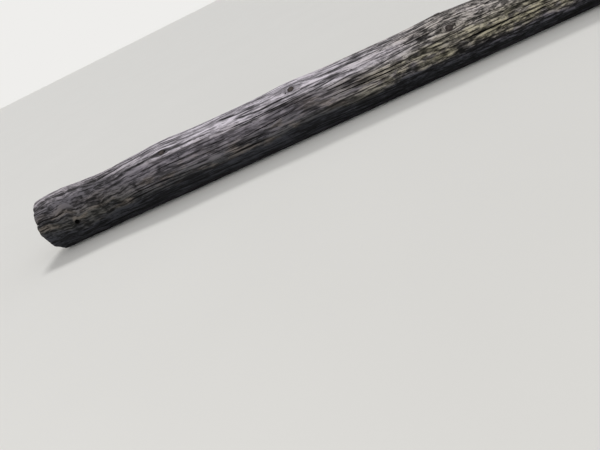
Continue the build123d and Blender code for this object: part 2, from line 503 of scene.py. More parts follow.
def grid_faces(rows, columns, start_pole, end_pole):
    """Quads between neighbouring rows of a grid that closes round its columns. The two ends are
    closed by fans to the points start_pole and end_pole."""
    index = np.arange(rows * columns).reshape(rows, columns)
    following = np.roll(index, -1, axis=1)
    quads = np.stack([index[:-1], following[:-1], following[1:], index[1:]], axis=-1)
    first = np.stack([np.full(columns, start_pole), following[0], index[0]], axis=-1)
    last = np.stack([np.full(columns, end_pole), index[-1], following[-1]], axis=-1)
    return quads.reshape(-1, 4).tolist() + first.tolist() + last.tolist()


def closed_surface(grid, poles=None):
    """Points and faces of one closed shape: grid[row, column] and the two poles that close it,
    which are the middles of its end rows where none are given. The signed volume tells whether
    the faces look outwards; if not they are turned."""
    rows, columns, _ = grid.shape
    if poles is None:
        poles = [grid[0].mean(axis=0), grid[-1].mean(axis=0)]
    points = np.concatenate([grid.reshape(-1, 3), poles])
    faces = grid_faces(rows, columns, rows * columns, rows * columns + 1)
    triangles = np.array([(f[0], f[i], f[i + 1]) for f in faces for i in range(1, len(f) - 1)])
    a, b, c = points[triangles[:, 0]], points[triangles[:, 1]], points[triangles[:, 2]]
    if np.sum(np.cross(a, b) * c) < 0:
        faces = [face[::-1] for face in faces]
    return points, faces


def joined_mesh(name, shapes):
    """One mesh object from several closed shapes, each a pair of points and faces."""
    offset = 0
    all_points, all_faces = [], []
    for points, faces in shapes:
        all_points.append(points)
        all_faces += [[corner + offset for corner in face] for face in faces]
        offset += len(points)
    mesh = bpy.data.meshes.new(name)
    mesh.from_pydata(np.concatenate(all_points).tolist(), [], all_faces)
    mesh.update()
    made = bpy.data.objects.new(name, mesh)
    bpy.context.scene.collection.objects.link(made)
    return made


def mesh_points(mesh):
    """The mesh's vertices as an array of points."""
    flat = np.empty(len(mesh.vertices) * 3)
    mesh.vertices.foreach_get("co", flat)
    return flat.reshape(-1, 3)


def store(mesh, name, values, kind="FLOAT"):
    """Keep an array on the mesh's vertices as an attribute that the materials read."""
    attribute = mesh.attributes.new(name, kind, "POINT")
    field = "vector" if kind == "FLOAT_VECTOR" else "value"
    attribute.data.foreach_set(field, np.ascontiguousarray(values, dtype=np.float32).ravel())


def cut(piece, cutter):
    """Take the cutter's shape out of the piece and drop the cutter."""
    modifier = piece.modifiers.new("cut", "BOOLEAN")
    modifier.operation = "DIFFERENCE"
    modifier.solver = "MANIFOLD"
    modifier.object = cutter
    graph = bpy.context.evaluated_depsgraph_get()
    result = bpy.data.meshes.new_from_object(piece.evaluated_get(graph))
    piece.modifiers.remove(modifier)
    old, piece.data = piece.data, result
    name = old.name
    bpy.data.meshes.remove(old)
    result.name = name
    spare = cutter.data
    bpy.data.objects.remove(cutter)
    bpy.data.meshes.remove(spare)


# Pieces of the pole


def shaft_grid(trunk):
    """Profile from the butt's pith out to its arris, round it, along the pole and back in to the
    pith of the top, carried round the trunk. Rows are close near the butt and at the rings of
    knots, and wide beyond."""
    rings = np.array([ring for ring, _ in knot_rings]) * mm
    places = [trunk.butt_wear]
    while places[-1] < pole_length:
        here = places[-1]
        spacing = np.interp(here, (0.75, 1.0, 2.8, 5.0), (
            trunk.close_spacing, trunk.middle_spacing, trunk.middle_spacing, trunk.wide_spacing))
        near_ring = bell(np.min(np.abs(here - rings)), 0.05)
        tight = min(spacing, 1.1 * trunk.middle_spacing)
        places.append(here + spacing + (tight - spacing) * near_ring)
    places = np.array(places) * pole_length / places[-1]
    places[0] = trunk.butt_wear
    columns = np.arange(trunk.columns) / trunk.columns
    even = 2 * np.pi * columns - np.pi / 2
    angle = even - trunk.crowding * np.sin(even - radians(40))

    # End of the butt: rings out from the pith, then a quarter round whose radius varies
    wear = trunk.butt_wear * (1 + 0.5 * lattice_noise(columns, 0 * columns, 19, 1.0, 5))
    radius = float(trunk_radius(trunk, 0.0))
    inner = 1 - wear / radius
    quarter = np.linspace(0, np.pi / 2, 7)[1:-1, None]
    end_share = np.linspace(0.06, 1, 14)[:, None] * inner
    arris_share = inner + wear / radius * np.sin(quarter)
    arris_place = wear * (1 - np.cos(quarter))
    along_place = places[1:, None] + 0 * columns
    top_share = np.linspace(1, 0.06, 11)[1:, None] + 0 * columns
    settle = np.minimum(wear, places[1] * 0.98)
    place = np.concatenate([
        0 * end_share, np.minimum(arris_place, settle), settle[None, :], along_place,
        0 * top_share + pole_length,
    ])
    share = np.concatenate([
        end_share, arris_share, 1 + 0 * columns[None, :], 1 + 0 * along_place, top_share,
    ])
    angle = angle[None, :] + 0 * place
    turn = angle / (2 * np.pi)

    sink = relief(trunk, place, angle) * smoothstep(share * 3 - 2)
    grid = wood_point(trunk, place, angle, share, sink)
    # Sawn butt: slightly hollowed between the rings' hard latewood
    dished = (1.2 + 1.2 * lattice_noise(turn, share, 22, 0.1, 6)) * mm
    grid[..., 0] += np.where(place < 0.5 * mm, dished, 0)
    # Roof: rows near the top are drawn back in line with the slope
    out_from_face = grid[..., 1] - wood_point(trunk, pole_length, 0.0)[1]
    near_top = smoothstep((place - pole_length + 0.3) / 0.3)
    grid[..., 0] -= np.maximum(out_from_face, 0) * tan(trunk.roof_slope) * near_top
    return grid


def check_path(start, end, angle_in, angle_out, width, depth, seed):
    """Arrays along one check: place, angle, half width to each side and depth. It follows the
    waver of the grain, is widest in its middle and runs out to a tip at both ends."""
    # One step each 18 mm where the check starts in view, and each 36 mm beyond
    steps = max(8, int((end - start) / (18 if start < part_in_view else 36)))
    way = np.linspace(0, 1, steps)
    place = (start + (end - start) * way) * mm
    straight = np.radians(angle_in + (angle_out - angle_in) * way)
    angle = straight + 0.8 * wander(place, straight)
    random = np.random.default_rng(seed)
    swell = np.clip(np.sin(np.pi * np.clip(way, 0.02, 0.98)), 0, 1) ** 0.6
    left, right = (
        width * mm / 2 * swell * random.uniform(0.6, 1.35, steps) for _ in range(2))
    return place, angle, left, right, depth * mm * swell * random.uniform(0.8, 1.0, steps)


def surface_axes(angle):
    """Unit vectors out of the trunk and round it at each angle."""
    zero = 0 * angle
    outward = np.stack([zero, -np.cos(angle), np.sin(angle)], axis=-1)
    return outward, np.stack([zero, np.sin(angle), np.cos(angle)], axis=-1)


def wedge(trunk, place, angle, left, right, depth):
    """Closed wedge along a path: a triangle with its point at the depth and its base outside the
    bark line, of the given width where it meets the surface."""
    over = 12 * mm
    surface = wood_point(trunk, place, angle, 1.0, relief(trunk, place, angle))
    outward, sideways = surface_axes(angle)
    grow = (depth + over) / depth
    base = surface + outward * over
    return closed_surface(np.stack([
        surface - outward * depth[:, None],
        base + sideways * (right * grow)[:, None],
        base - sideways * (left * grow)[:, None],
    ], axis=1))


def end_wedge(trunk, end, inward, angle, length, width, depth, seed):
    """Wedge of a check that is open at an end of the pole. Its width and depth fall with the way
    inwards: (1 - way)^0.8."""
    steps = max(6, int(length / 16))
    way = np.linspace(0, 1, steps)
    place = end + inward * length * mm * way
    place[0] = end - inward * 0.03
    straight = np.radians(angle) + 0 * way
    turn = straight + 0.8 * wander(np.clip(place, 0, pole_length), straight) * (way > 0.05)
    random = np.random.default_rng(seed)
    fade = np.maximum(1 - way, 0.06) ** 0.8
    left, right = (
        width * mm / 2 * fade * random.uniform(0.7, 1.3, steps) for _ in range(2))
    return wedge(trunk, place, turn, left, right, depth * mm * fade)


def fine_checks(count):
    """Short seeded checks spread over the pole, clear of the larger ones and of the knots."""
    random = np.random.default_rng(7)
    # Start, end and the angle at each, of all that is there already
    taken = [check[:4] for check in checks + small_checks]
    taken += [(0, length, angle, angle) for angle, length, _, _ in butt_checks]
    last = pole_length / mm
    taken += [(last - length, last, angle, angle) for angle, length, _, _ in top_checks]
    taken += [(ring - 70, ring + 70, angle, angle) for ring, group in knot_rings
              for angle, _ in group]
    taken += [(knot_hole[0] - 60, knot_hole[0] + 60, knot_hole[1], knot_hole[1])]
    for bolt in bolt_places:
        taken += [(bolt - 90, bolt + 90, 0, 0), (bolt - 90, bolt + 90, 180, 180)]
    made = []
    while len(made) < count:
        # Every other one lies about where the photograph shows the pole
        if len(made) % 2:
            start, angle = random.uniform(300, 3600), random.uniform(-10, 100)
        else:
            start, angle = random.uniform(60, last - 700), random.uniform(-90, 270)
        length = random.uniform(90, 480)
        drift = random.uniform(-0.6, 0.6)
        width = random.uniform(2.2, 4.2)
        depth = random.uniform(7, 15)
        # Clear of another: 25 mm before or after it, 4.5 degrees aside, or within its own drift
        clear = all(
            start > end + 25 or start + length < begin - 25
            or min(abs((angle - other + 180) % 360 - 180) for other in (first, final)) > 4.5
            or (angle - first) * (angle - final) < 0
            for begin, end, first, final in taken
        )
        if clear:
            made.append((start, start + length, angle, angle + drift, width, depth))
            taken.append((start, start + length, angle, angle + drift))
    return made


def splinter_places(trunk, count):
    """Splinters for splinter(): half of them on the lower lip of a long check, the others
    anywhere on the trunk. Each has a place, angle, length, width and lift."""
    random = np.random.default_rng(8)
    made = []
    for number in range(count):
        length = random.uniform(45, 170) * mm
        if number % 2:
            start, end, angle_in, angle_out, width, _ = checks[random.integers(len(checks))]
            way = random.uniform(0.1, 0.85)
            place = (start + (end - start) * way) * mm
            lip = width * mm / 2 + random.uniform(0.5, 3) * mm
            angle = radians(angle_in + (angle_out - angle_in) * way)
            angle = angle - lip / float(trunk_radius(trunk, place))
        else:
            place = random.uniform(0.1, pole_length - 0.6)
            angle = radians(random.uniform(-70, 250))
        made.append((place, angle, length, random.uniform(2.5, 6) * mm,
                     random.uniform(0.8, 3.5) * mm))
    return made


def knot_axes(trunk, knot, place, angle):
    """Origin on the smooth trunk, the two directions across a knot and the one along it."""
    origin = wood_point(trunk, place, angle)
    across = np.array([0, sin(angle), cos(angle)])
    out = np.array([0, -cos(angle), sin(angle)])
    axis = out * cos(knot.rise) + np.array([sin(knot.rise), 0, 0])
    return origin, across, np.cross(axis, across), axis


def turned_shape(axes, heights, radii, columns):
    """Rings of the given heights and radii round an axis, closed at both ends. Radii may be
    arrays of one value or of one per column."""
    origin, across, along, axis = axes
    swing = 2 * np.pi * np.arange(columns) / columns
    rows = len(heights)
    radii, heights = (
        np.broadcast_to(np.asarray(values, float).reshape(rows, -1), (rows, columns))
        for values in (radii, heights))
    grid = (origin + heights[..., None] * axis
            + (radii * np.cos(swing))[..., None] * across
            + (radii * np.sin(swing))[..., None] * along)
    return closed_surface(grid, [origin + heights[row].mean() * axis for row in (0, -1)])


def socket_shape(trunk, knot, place, angle, radius, depth, seed):
    """Tapered cutter of a knot's socket, from its depth to well outside the trunk. Near the
    surface it is a little wider, unevenly, and runs out to a point both ways along the grain."""
    random = np.random.default_rng(seed)
    columns = 28
    swing = 2 * np.pi * np.arange(columns) / columns
    waves = np.cos(swing * 2 + random.uniform(0, 6)) + np.cos(swing * 3 + random.uniform(0, 6))
    points = np.abs(np.sin(swing)) ** 40 * random.uniform(4, 9) * mm
    loose = (0.9 + 0.45 * waves) * mm + points
    heights = np.array([-depth, -7 * mm, 3 * mm, 25 * mm])
    radii = (radius + heights * tan(knot.taper))[:, None] + np.array([0, 0, 1, 1])[:, None] * loose
    return turned_shape(knot_axes(trunk, knot, place, angle), heights, radii, columns)


def pit_shape(trunk, knot, place, angle, diameter, seed):
    """Cutter of a small pit: an uneven cone with its blunt point in the wood."""
    random = np.random.default_rng(seed)
    uneven = random.uniform(0.7, 1.3, 11) * diameter * mm / 2
    radii = np.array([0.25, 0.8, 1.5])[:, None] * uneven
    heights = np.array([-1.0 * diameter * mm, 0, 14 * mm])
    return turned_shape(knot_axes(trunk, knot, place * mm, radians(angle)), heights, radii, 11)


def splinter(trunk, place, angle, length, width, lift):
    """Blade of wood still rooted at one end: a flat diamond section that narrows to a tip, which
    stands off the surface by the lift times the way along it to the power 1.7."""
    way = np.linspace(0, 1, 7)
    along = place + length * way
    turn = angle + 0.8 * wander(along, angle + 0 * way)
    root = wood_point(trunk, along, turn, 1.0, relief(trunk, along, turn))
    outward, sideways = surface_axes(turn)
    middle = root + outward * (lift * way ** 1.7 - 1.0 * mm * (1 - way))[:, None]
    half = (width / 2 * (1 - 0.93 * way) ** 0.7)[:, None] * sideways
    thick = (1.3 * mm * (1 - 0.75 * way))[:, None] * outward
    return closed_surface(
        np.stack([middle + half, middle + thick, middle - half, middle - thick], axis=1))


def framing_shapes(trunk):
    """Cutters of the flat gain and of the bolt holes that go through the pole."""
    face = wood_point(trunk, gain_place * mm, 0.0)
    half_gain, reach = gain_height * mm / 2, trunk.top_diameter * 0.75
    floor_y = face[1] + gain_depth * mm
    square = np.array([(-half_gain, -reach), (half_gain, -reach), (half_gain, reach),
                       (-half_gain, reach)])
    slab = np.stack([
        np.stack([face[0] + square[:, 0], np.full(4, y), face[2] + square[:, 1]], axis=-1)
        for y in (floor_y, floor_y - 3 * gain_depth * mm)
    ])
    shapes = [closed_surface(slab)]
    sideways = (np.array([1, 0, 0]), np.array([0, 0, 1]), np.array([0, 1, 0]))
    # The upper bolt's hole starts at the gain's floor, the lower one's outside the trunk
    for bolt in bolt_places:
        middle = np.array([bolt * mm - pole_length / 2, floor_y, face[2]])
        depths = np.array([0.0 if bolt == gain_place else -0.1, 0.4])
        shapes.append(turned_shape((middle, *sideways), depths,
                                   np.full(2, bolt_hole_diameter * mm / 2), 32))
    return shapes


def wood_attributes(trunk, mesh, raised=0.0):
    """Place each vertex in the wood: `grain` runs along the strands and in to the pith, `depth`
    is the distance under the nearest weathered surface, `weather_and_shade` is the angle's sine, 1 on top
    and -1 below, plus the shelter, `endgrain` is 1 on the sawn ends, `sunk` is the relief's
    pattern in mm less what is raised, `stain` is dark or pale, and `seam` holds the phase of the
    seams and how open they are."""
    points = mesh_points(mesh)
    place, angle, share = trunk_coordinates(trunk, points)
    # The roof's slope is taken back out, so that the strands end at it undisturbed
    face_y = wood_point(trunk, pole_length, 0.0)[1]
    roof_place = pole_length - np.maximum(points[:, 1] - face_y, 0) * tan(trunk.roof_slope)
    radius = trunk_radius(trunk, place)
    strand = grain_angle(trunk, place, angle)
    # The grain is laid round a trunk of 0.12 m radius all along, so no strand runs out as it tapers
    core = 0.12 * np.maximum(share, 0.02)
    grain = np.stack([place, core * np.cos(strand), core * np.sin(strand)], axis=-1)
    under = (1 - share) * radius - relief(trunk, place, angle)
    from_butt, from_top = place - 2.6 * mm, roof_place - place
    gain_floor = wood_point(trunk, gain_place * mm, 0.0)[1] + gain_depth * mm
    in_gain = np.abs(place - gain_place * mm) < (gain_height / 2 + 0.5) * mm
    from_gain = np.where(in_gain, np.abs(points[:, 1] - gain_floor), 1)
    depth = np.minimum.reduce([under, from_butt, from_top, from_gain])
    end = np.maximum(smoothstep(1 - from_butt / (2 * mm)), smoothstep(1 - from_top / (1 * mm)))
    end = end * smoothstep((0.97 - share) / 0.05)
    _, pattern = sink_parts(trunk, place, angle)
    phase, open_share = seams(strand / (2 * np.pi), place)
    store(mesh, "grain", grain, "FLOAT_VECTOR")
    store(mesh, "depth", np.maximum(depth, 0))
    # This height round the trunk sets the bleaching on top and the painted shade down the side and
    # underneath
    store(mesh, "weather_and_shade", np.sin(angle) + shelter(place))
    store(mesh, "endgrain", end)
    store(mesh, "sunk", pattern / mm - raised)
    store(mesh, "stain", stains(trunk, place, angle))
    store(mesh, "seam", np.stack([np.cos(phase), np.sin(phase), open_share], axis=-1),
          "FLOAT_VECTOR")


def knot_shape(trunk, knot, place, angle, radius, seed):
    """Tapered plug with a weathered end: a low dome with rings, a worn rim and radial cracks.
    With its points and faces go each point's place in the knot, as its share of the radius each
    way across and its height in radii, and its depth under the rim."""
    random = np.random.default_rng(seed)
    columns = 26
    swing = 2 * np.pi * np.arange(columns) / columns
    thin = tan(knot.taper)
    shares = np.array([1.0, 0.93, 0.82, 0.7, 0.58, 0.46, 0.34, 0.22, 0.1])[:, None]
    cracks = sum(
        bell(turn_from(swing, turn), 0.16) * reach
        for turn, reach in zip(random.uniform(0, 6.28, 4), random.uniform(0.4, 1.0, 4))
    )
    waves = random.uniform(-1, 1) * np.cos(swing) + random.uniform(-1, 1) * np.sin(2 * swing)
    dome = 0.4 * knot.proud * (1 - shares ** 2) + 0.35 * mm * np.cos(shares * 26)
    dome = dome + 0.8 * mm * waves * shares - 2.4 * mm * cracks * np.minimum(shares * 1.6, 1)
    # The end is trimmed along the trunk's round surface, though the knot leans
    lean = shares * radius * np.sin(swing) * sin(knot.rise)
    fall = (shares * radius * np.cos(swing)) ** 2 / (2 * float(trunk_radius(trunk, place)))
    top = (dome - lean - fall) / cos(knot.rise)
    way = np.linspace(0, 1, 5)[:, None]
    body = -knot.depth + (top[0] - 1 * mm + knot.depth) * way
    heights = np.concatenate([body, top])
    radii = np.concatenate([
        radius + body * thin - knot.shrinkage,
        (radius + top[0] * thin - knot.shrinkage) * shares * (1 - 0.07 * np.abs(waves)),
    ])
    shape = turned_shape(knot_axes(trunk, knot, place, angle), heights, radii, columns)
    ring = np.stack([radii / radius * np.cos(swing), radii / radius * np.sin(swing),
                     heights / radius + seed], axis=-1).reshape(-1, 3)
    ring = np.concatenate([ring, [[0, 0, seed - 3], [0, 0, seed]]])
    under = np.concatenate([np.maximum(top[0] - body, 0), 0 * top])
    return shape, ring, np.concatenate([under.ravel(), [knot.depth, 0]])


# Materials


def add(tree, kind, *values, inputs=None, stops=None, **settings):
    """One shader node with its settings. Values go to its live inputs in their own order, and
    `inputs` to those it names. Each is a number, a colour, a socket, or a node, whose first live
    output is taken. Stops are a colour ramp's places and colours, or greys."""
    made = tree.nodes.new("ShaderNode" + kind)
    for name, value in settings.items():
        setattr(made, name, value)
    if stops:
        ramp = made.color_ramp
        while len(ramp.elements) < len(stops):
            ramp.elements.new(1)
        for element, (place, colour) in zip(ramp.elements, stops):
            element.position = place
            element.color = (*([colour] * 3 if isinstance(colour, float) else colour), 1)
    live = [socket for socket in made.inputs if socket.enabled]
    given = list(zip(live, values))
    for name, value in (inputs or {}).items():
        given.append((next(socket for socket in live if socket.name == name), value))
    for socket, value in given:
        if isinstance(value, bpy.types.Node):
            value = next(output for output in value.outputs if output.enabled)
        if isinstance(value, bpy.types.NodeSocket):
            tree.links.new(value, socket)
        elif socket.type == "RGBA":
            socket.default_value = (*value, 1)
        else:
            socket.default_value = value
    return made


def fresh_nodes(owner):
    """Empty the node tree of a material or world and give the function that adds nodes to it."""
    owner.use_nodes = True
    owner.node_tree.nodes.clear()
    return partial(add, owner.node_tree)


def bare_wood_shader(node, tone, height, rise):
    """Wood without varnish: dull all over, with a weak gloss and the height as its bump."""
    bump = node("Bump", inputs={"Strength": 1.0, "Distance": rise, "Height": height})
    shader = node("BsdfPrincipled", inputs={
        "Base Color": tone, "Roughness": 0.92, "Specular IOR Level": 0.22, "Normal": bump})
    node("OutputMaterial", shader)


# In the materials below a MapRange node is given a value, the range it is read from and the
# range it is turned into (0 to 1 where none is given), and a Mix node a factor and two colours.


def weathered_softwood(finish):
    """Bare softwood, peeled and left outside: silver grey and furred where the sun reaches it,
    brown grey to nearly black down the side and underneath, wood that seldom dries with painted
    shade on it, and dark seams along the grain whose dark is partly painted shadow."""
    material = bpy.data.materials.new("weathered_softwood")
    material.diffuse_color = (*finish.grey, 1)
    node = fresh_nodes(material)
    grain, seam = (
        node("Attribute", attribute_name=name).outputs["Vector"] for name in ("grain", "seam"))
    depth, weather_and_shade, endgrain, sunk, stain = (
        node("Attribute", attribute_name=name).outputs["Fac"]
        for name in ("depth", "weather_and_shade", "endgrain", "sunk", "stain"))
    place = node("SeparateXYZ", grain)

    # The photograph shows shorter streaks from 1.7 m on, so the patterns are drawn closer
    extra = node("MapRange", place, 1.7, 9.2, 0, 8)
    drawn = node("VectorMath", grain, node("CombineXYZ", extra), operation="ADD")

    def strands(along, across, detail, lift):
        """Noise on the grain, stretched to a length and a width in mm."""
        scaled = node("VectorMath", drawn, (1000 / along, 1000 / across, 1000 / across),
                      (lift, lift, 0), operation="MULTIPLY_ADD")
        return node("TexNoise", scaled, 1.0, detail, 0.55)

    def contours(pattern, count):
        """Distance from the nearest of this many contour lines of a pattern: 0 on it, and 0.5
        half way to the next."""
        many = node("Math", pattern, count, operation="MULTIPLY")
        middle = node("Math", node("Math", many, operation="FRACT"), 0.5, operation="SUBTRACT")
        return node("Math", middle, operation="ABSOLUTE")

    def broken_lines(pattern, core, edge, strength, patches, none, full):
        """Lines that are full up to their core and gone at their edge, shown only in patches."""
        line = node("MapRange", pattern, core, edge, strength, 0)
        present = node("MapRange", patches, none, full)
        return node("Math", line, present, operation="MULTIPLY")

    # Fibres are far finer than a pixel in the photograph's view; these are as wide as show there
    plank = strands(700, 48, 2, 3)
    strand = strands(210, 17, 3, 7)
    fibre = strands(100, 8, 3, 11)
    blotch = strands(260, 90, 3, 19)
    patch = strands(120, 24, 3, 23)
    grit = strands(44, 11, 2, 29)

    # The butt has broken fibre; past a metre and a half the wood has weathered rough
    near_butt = node("MapRange", place, 0.3, 0.8, 1, 0, interpolation_type="SMOOTHSTEP")
    ragged_place = node("Math", plank, 1.4, place, operation="MULTIPLY_ADD")
    rough = node("MapRange", ragged_place, 2.15, 2.75, interpolation_type="SMOOTHSTEP")

    # Weather line: where the bleached upper side ends, wavering along the pole
    line = weather_and_shade
    for pattern, reach in ((blotch, 0.5), (plank, 0.4), (strand, 0.3)):
        waver = node("Math", pattern, 0.5, operation="SUBTRACT")
        line = node("Math", waver, reach, line, operation="MULTIPLY_ADD")
    spread = node("MapRange", line, -1, 1)
    # Painted shade: the ramp darkens down the side to nearly black underneath, over wood that is
    # bleached on top and darker where it seldom dries
    tone = node("ValToRGB", spread, stops=[
        (0.22, finish.shaded_wet), (0.46, finish.shaded_wet), (0.56, finish.shaded_damp), (0.69, finish.brown_grey),
        (0.80, finish.brown_grey), (0.84, finish.grey), (0.88, finish.bleached)])
    # The butt's ramp also paints the shade underneath nearly black
    butt_tone = node("ValToRGB", spread, stops=[
        (0.42, finish.shaded_wet), (0.54, finish.butt_grey), (0.75, finish.butt_grey),
        (0.84, finish.grey)])
    upper = node("MapRange", spread, 0.74, 0.86)
    dulled = node("Math", rough, upper, operation="MULTIPLY")
    dulled = node("Math", dulled, 0.8, operation="MULTIPLY")

    # Younger wood shows tan in patches on the side, whose height runs from -1 below to 1 on top
    flat = node("VectorMath", grain, (0, 1, 1), operation="MULTIPLY")
    side_height = node("SeparateXYZ", node("VectorMath", flat, operation="NORMALIZE")).outputs[2]
    side_height = node("Math", blotch, 0.6, side_height, operation="MULTIPLY_ADD")
    half_sheltered = node("ValToRGB", node("MapRange", side_height, -0.7, 1.3), stops=[
        (0.36, 0.0), (0.48, 1.0), (0.70, 1.0), (0.84, 0.22)])
    bare = node("MapRange", strands(120, 40, 3, 61), 0.52, 0.64, 0, 0.4)
    bare = node("Math", bare, half_sheltered, operation="MULTIPLY")

    # Olive film on that side: nearly none on the first metre and a half, then wide and mottled
    film_place = node("MapRange", place, 1.3, 2.1, 0.06, 1, interpolation_type="SMOOTHSTEP")
    film_at_butt = node("Math", near_butt, 0.12, operation="MULTIPLY")
    film = node("Math", film_place, film_at_butt, operation="MAXIMUM")
    film_area = node("MapRange", blotch, 0.36, 0.50, 0.5)
    film_mottle = node("MapRange", patch, 0.38, 0.50, 0.35)
    for factor in (half_sheltered, film_area, film_mottle, 0.95):
        film = node("Math", film, factor, operation="MULTIPLY")
    for factor, colour in ((near_butt, butt_tone), (dulled, finish.rough_grey),
                           (bare, finish.tan), (film, finish.algae)):
        tone = node("Mix", factor, tone, colour, data_type="RGBA")

    # Seams: the phase's cosine is near 1 at a seam; the fibre makes its edges ragged. Their dark
    # line is painted shadow in the grooves that the trunk's relief cuts along the same seams.
    phase = node("VectorMath", seam, (1, 1, 0), operation="MULTIPLY")
    near = node("SeparateXYZ", node("VectorMath", phase, operation="NORMALIZE"))
    near = node("Math", fibre, 0.35, near, operation="MULTIPLY_ADD")
    seam_line = node("MapRange", near, 0.90, 1.10)
    open_share = node("MapRange", node("SeparateXYZ", seam).outputs[2], 0.15, 0.6)
    seam_line = node("Math", seam_line, open_share, operation="MULTIPLY")

    # Hairlines past the butt, shorter and closer cracks on the upper side from a metre and a half
    # on, and pale fibres that have lifted and bleached: all follow the contours of a long noise
    hairline = broken_lines(contours(strands(760, 38, 2, 31), 5), 0.06, 0.20, 0.9,
                            strands(260, 44, 2, 37), 0.40, 0.54)
    whole = node("Math", 1.0, near_butt, operation="SUBTRACT")
    hairline = node("Math", hairline, whole, operation="MULTIPLY")
    crack = broken_lines(contours(strands(460, 26, 2, 113), 4), 0.06, 0.17, 0.95,
                         strands(170, 34, 2, 127), 0.42, 0.52)
    for factor in (node("MapRange", place, 1.3, 1.9, 0.1), upper):
        crack = node("Math", crack, factor, operation="MULTIPLY")
    pale = broken_lines(contours(strands(560, 36, 2, 83), 5), 0.05, 0.18, 1.0,
                        strands(210, 36, 2, 89), 0.46, 0.58)
    pale = node("MapRange", pale, 0, 1, 1, 1.75)

    # Short dashes of torn fibre where it is rough, thin dark gaps between fibres all over, and
    # broken fibre, in wavy tufts with pale crests and dark gaps, on the butt and where it is rough
    dash = node("ValToRGB", strands(84, 10, 2, 107), stops=[
        (0.37, 0.18), (0.45, 0.92), (0.54, 1.15), (0.62, 1.9)])
    gap = node("ValToRGB", strands(230, 11, 3, 109), stops=[
        (0.35, 0.2), (0.43, 0.92), (0.60, 1.08), (0.70, 1.4)])
    tuft = node("ValToRGB", contours(strands(62, 17, 2, 97), 4), stops=[
        (0.0, 0.38), (0.13, 0.7), (0.3, 1.0), (0.42, 1.75)])
    tufted = node("Math", rough, 0.3, operation="MULTIPLY")
    tufted = node("Math", near_butt, tufted, operation="MAXIMUM")
    dash, tuft = (node("Mix", factor, (1, 1, 1), pattern, data_type="RGBA")
                  for factor, pattern in ((rough, dash), (tufted, tuft)))

    # Dark lines, specks of mould, mostly in the film and on the rough upper side, and coarse
    # ragged marks where it is rough
    dark_lines = node("Math", hairline, crack, operation="MAXIMUM")
    dark_lines = node("Math", dark_lines, seam_line, operation="MAXIMUM")
    mouldy = node("Math", film, dulled, operation="MAXIMUM")
    for area, gain, pattern, full, darkest in (
            (mouldy, 0.08, grit, 0.68, 0.7), (rough, 0.09, strands(130, 21, 4, 101), 0.69, 0.85)):
        spot = node("Math", area, gain, pattern, operation="MULTIPLY_ADD")
        spot = node("MapRange", spot, 0.62, full, 0, darkest)
        dark_lines = node("Math", dark_lines, spot, operation="MAXIMUM")

    # Crests are worn pale; hollows and gaps are darker, from dirt and painted shade
    shade = node("MapRange", sunk, -1.4, 1.8, 1.45, 0.45)
    for pattern, darkest, palest in (
            (plank, 0.88, 1.12), (strand, 0.62, 1.3), (fibre, 0.6, 1.32), (patch, 0.80, 1.16),
            (grit, 0.62, 1.3)):
        level = node("MapRange", pattern, 0.41, 0.59, darkest, palest)
        shade = node("Math", shade, level, operation="MULTIPLY")
    darken = node("MapRange", dark_lines, 0, 1, 1, 0.22)
    stained = node("MapRange", stain, -1, 1, 1.6, 0.4)
    for factor in (darken, stained, pale, tuft, dash, gap):
        shade = node("Math", shade, factor, operation="MULTIPLY")
    shade = node("Math", shade, 1.45, 0.3, operation="SMOOTH_MIN")
    # Darker towards the butt
    butt_darkening = node("MapRange", near_butt, 0, 1, 1, 0.84)
    shade = node("Math", shade, butt_darkening, operation="MULTIPLY")
    tone = node("Mix", 1.0, tone, shade, data_type="RGBA", blend_type="MULTIPLY")

    # Sawn ends, greyed and dirty: growth rings round the pith, wide inside and narrow outside,
    # which waver with the stem's shape
    out = node("VectorMath", flat, operation="LENGTH")
    ring = node("Math", strands(9000, 75, 2, 47), 0.016, out, operation="MULTIPLY_ADD")
    ring = node("Math", ring, 1.35, operation="POWER")
    ring = node("Math", node("Math", ring, 700, operation="MULTIPLY"), operation="FRACT")
    ring_shade = node("ValToRGB", ring, stops=[(0.0, 1.1), (0.6, 0.9), (0.85, 0.5), (1.0, 1.1)])
    end_tone = node("Mix", 1.0, finish.end_grain, ring_shade,
                    data_type="RGBA", blend_type="MULTIPLY")
    for pattern, darkest, palest in ((patch, 0.6, 1.2), (strands(9000, 30, 3, 71), 0.55, 1.3)):
        level = node("MapRange", pattern, 0.3, 0.7, darkest, palest)
        end_tone = node("Mix", 1.0, end_tone, level, data_type="RGBA", blend_type="MULTIPLY")

    # The inside of the checks, holes and sockets lies over everything else, painted near black for
    # the shadow in them
    dark = node("MapRange", depth, 1 * mm, 6 * mm, interpolation_type="SMOOTHSTEP")
    for factor, colour in ((endgrain, end_tone), (dark, finish.inside)):
        tone = node("Mix", factor, tone, colour, data_type="RGBA")

    # Relief in mm: strands and fibres raised, seams and cracks sunk, rings of the ends
    height = node("Math", dark_lines, -1.7, operation="MULTIPLY")
    for pattern, rise in ((strand, 4.0), (plank, 3.0), (fibre, 1.6), (patch, 2.0), (grit, 0.8)):
        height = node("Math", pattern, rise, height, operation="MULTIPLY_ADD")
    end_height = node("Math", ring_shade, 0.9, operation="MULTIPLY")
    bare_wood_shader(node, tone, node("Mix", endgrain, height, end_height), mm)
    return material


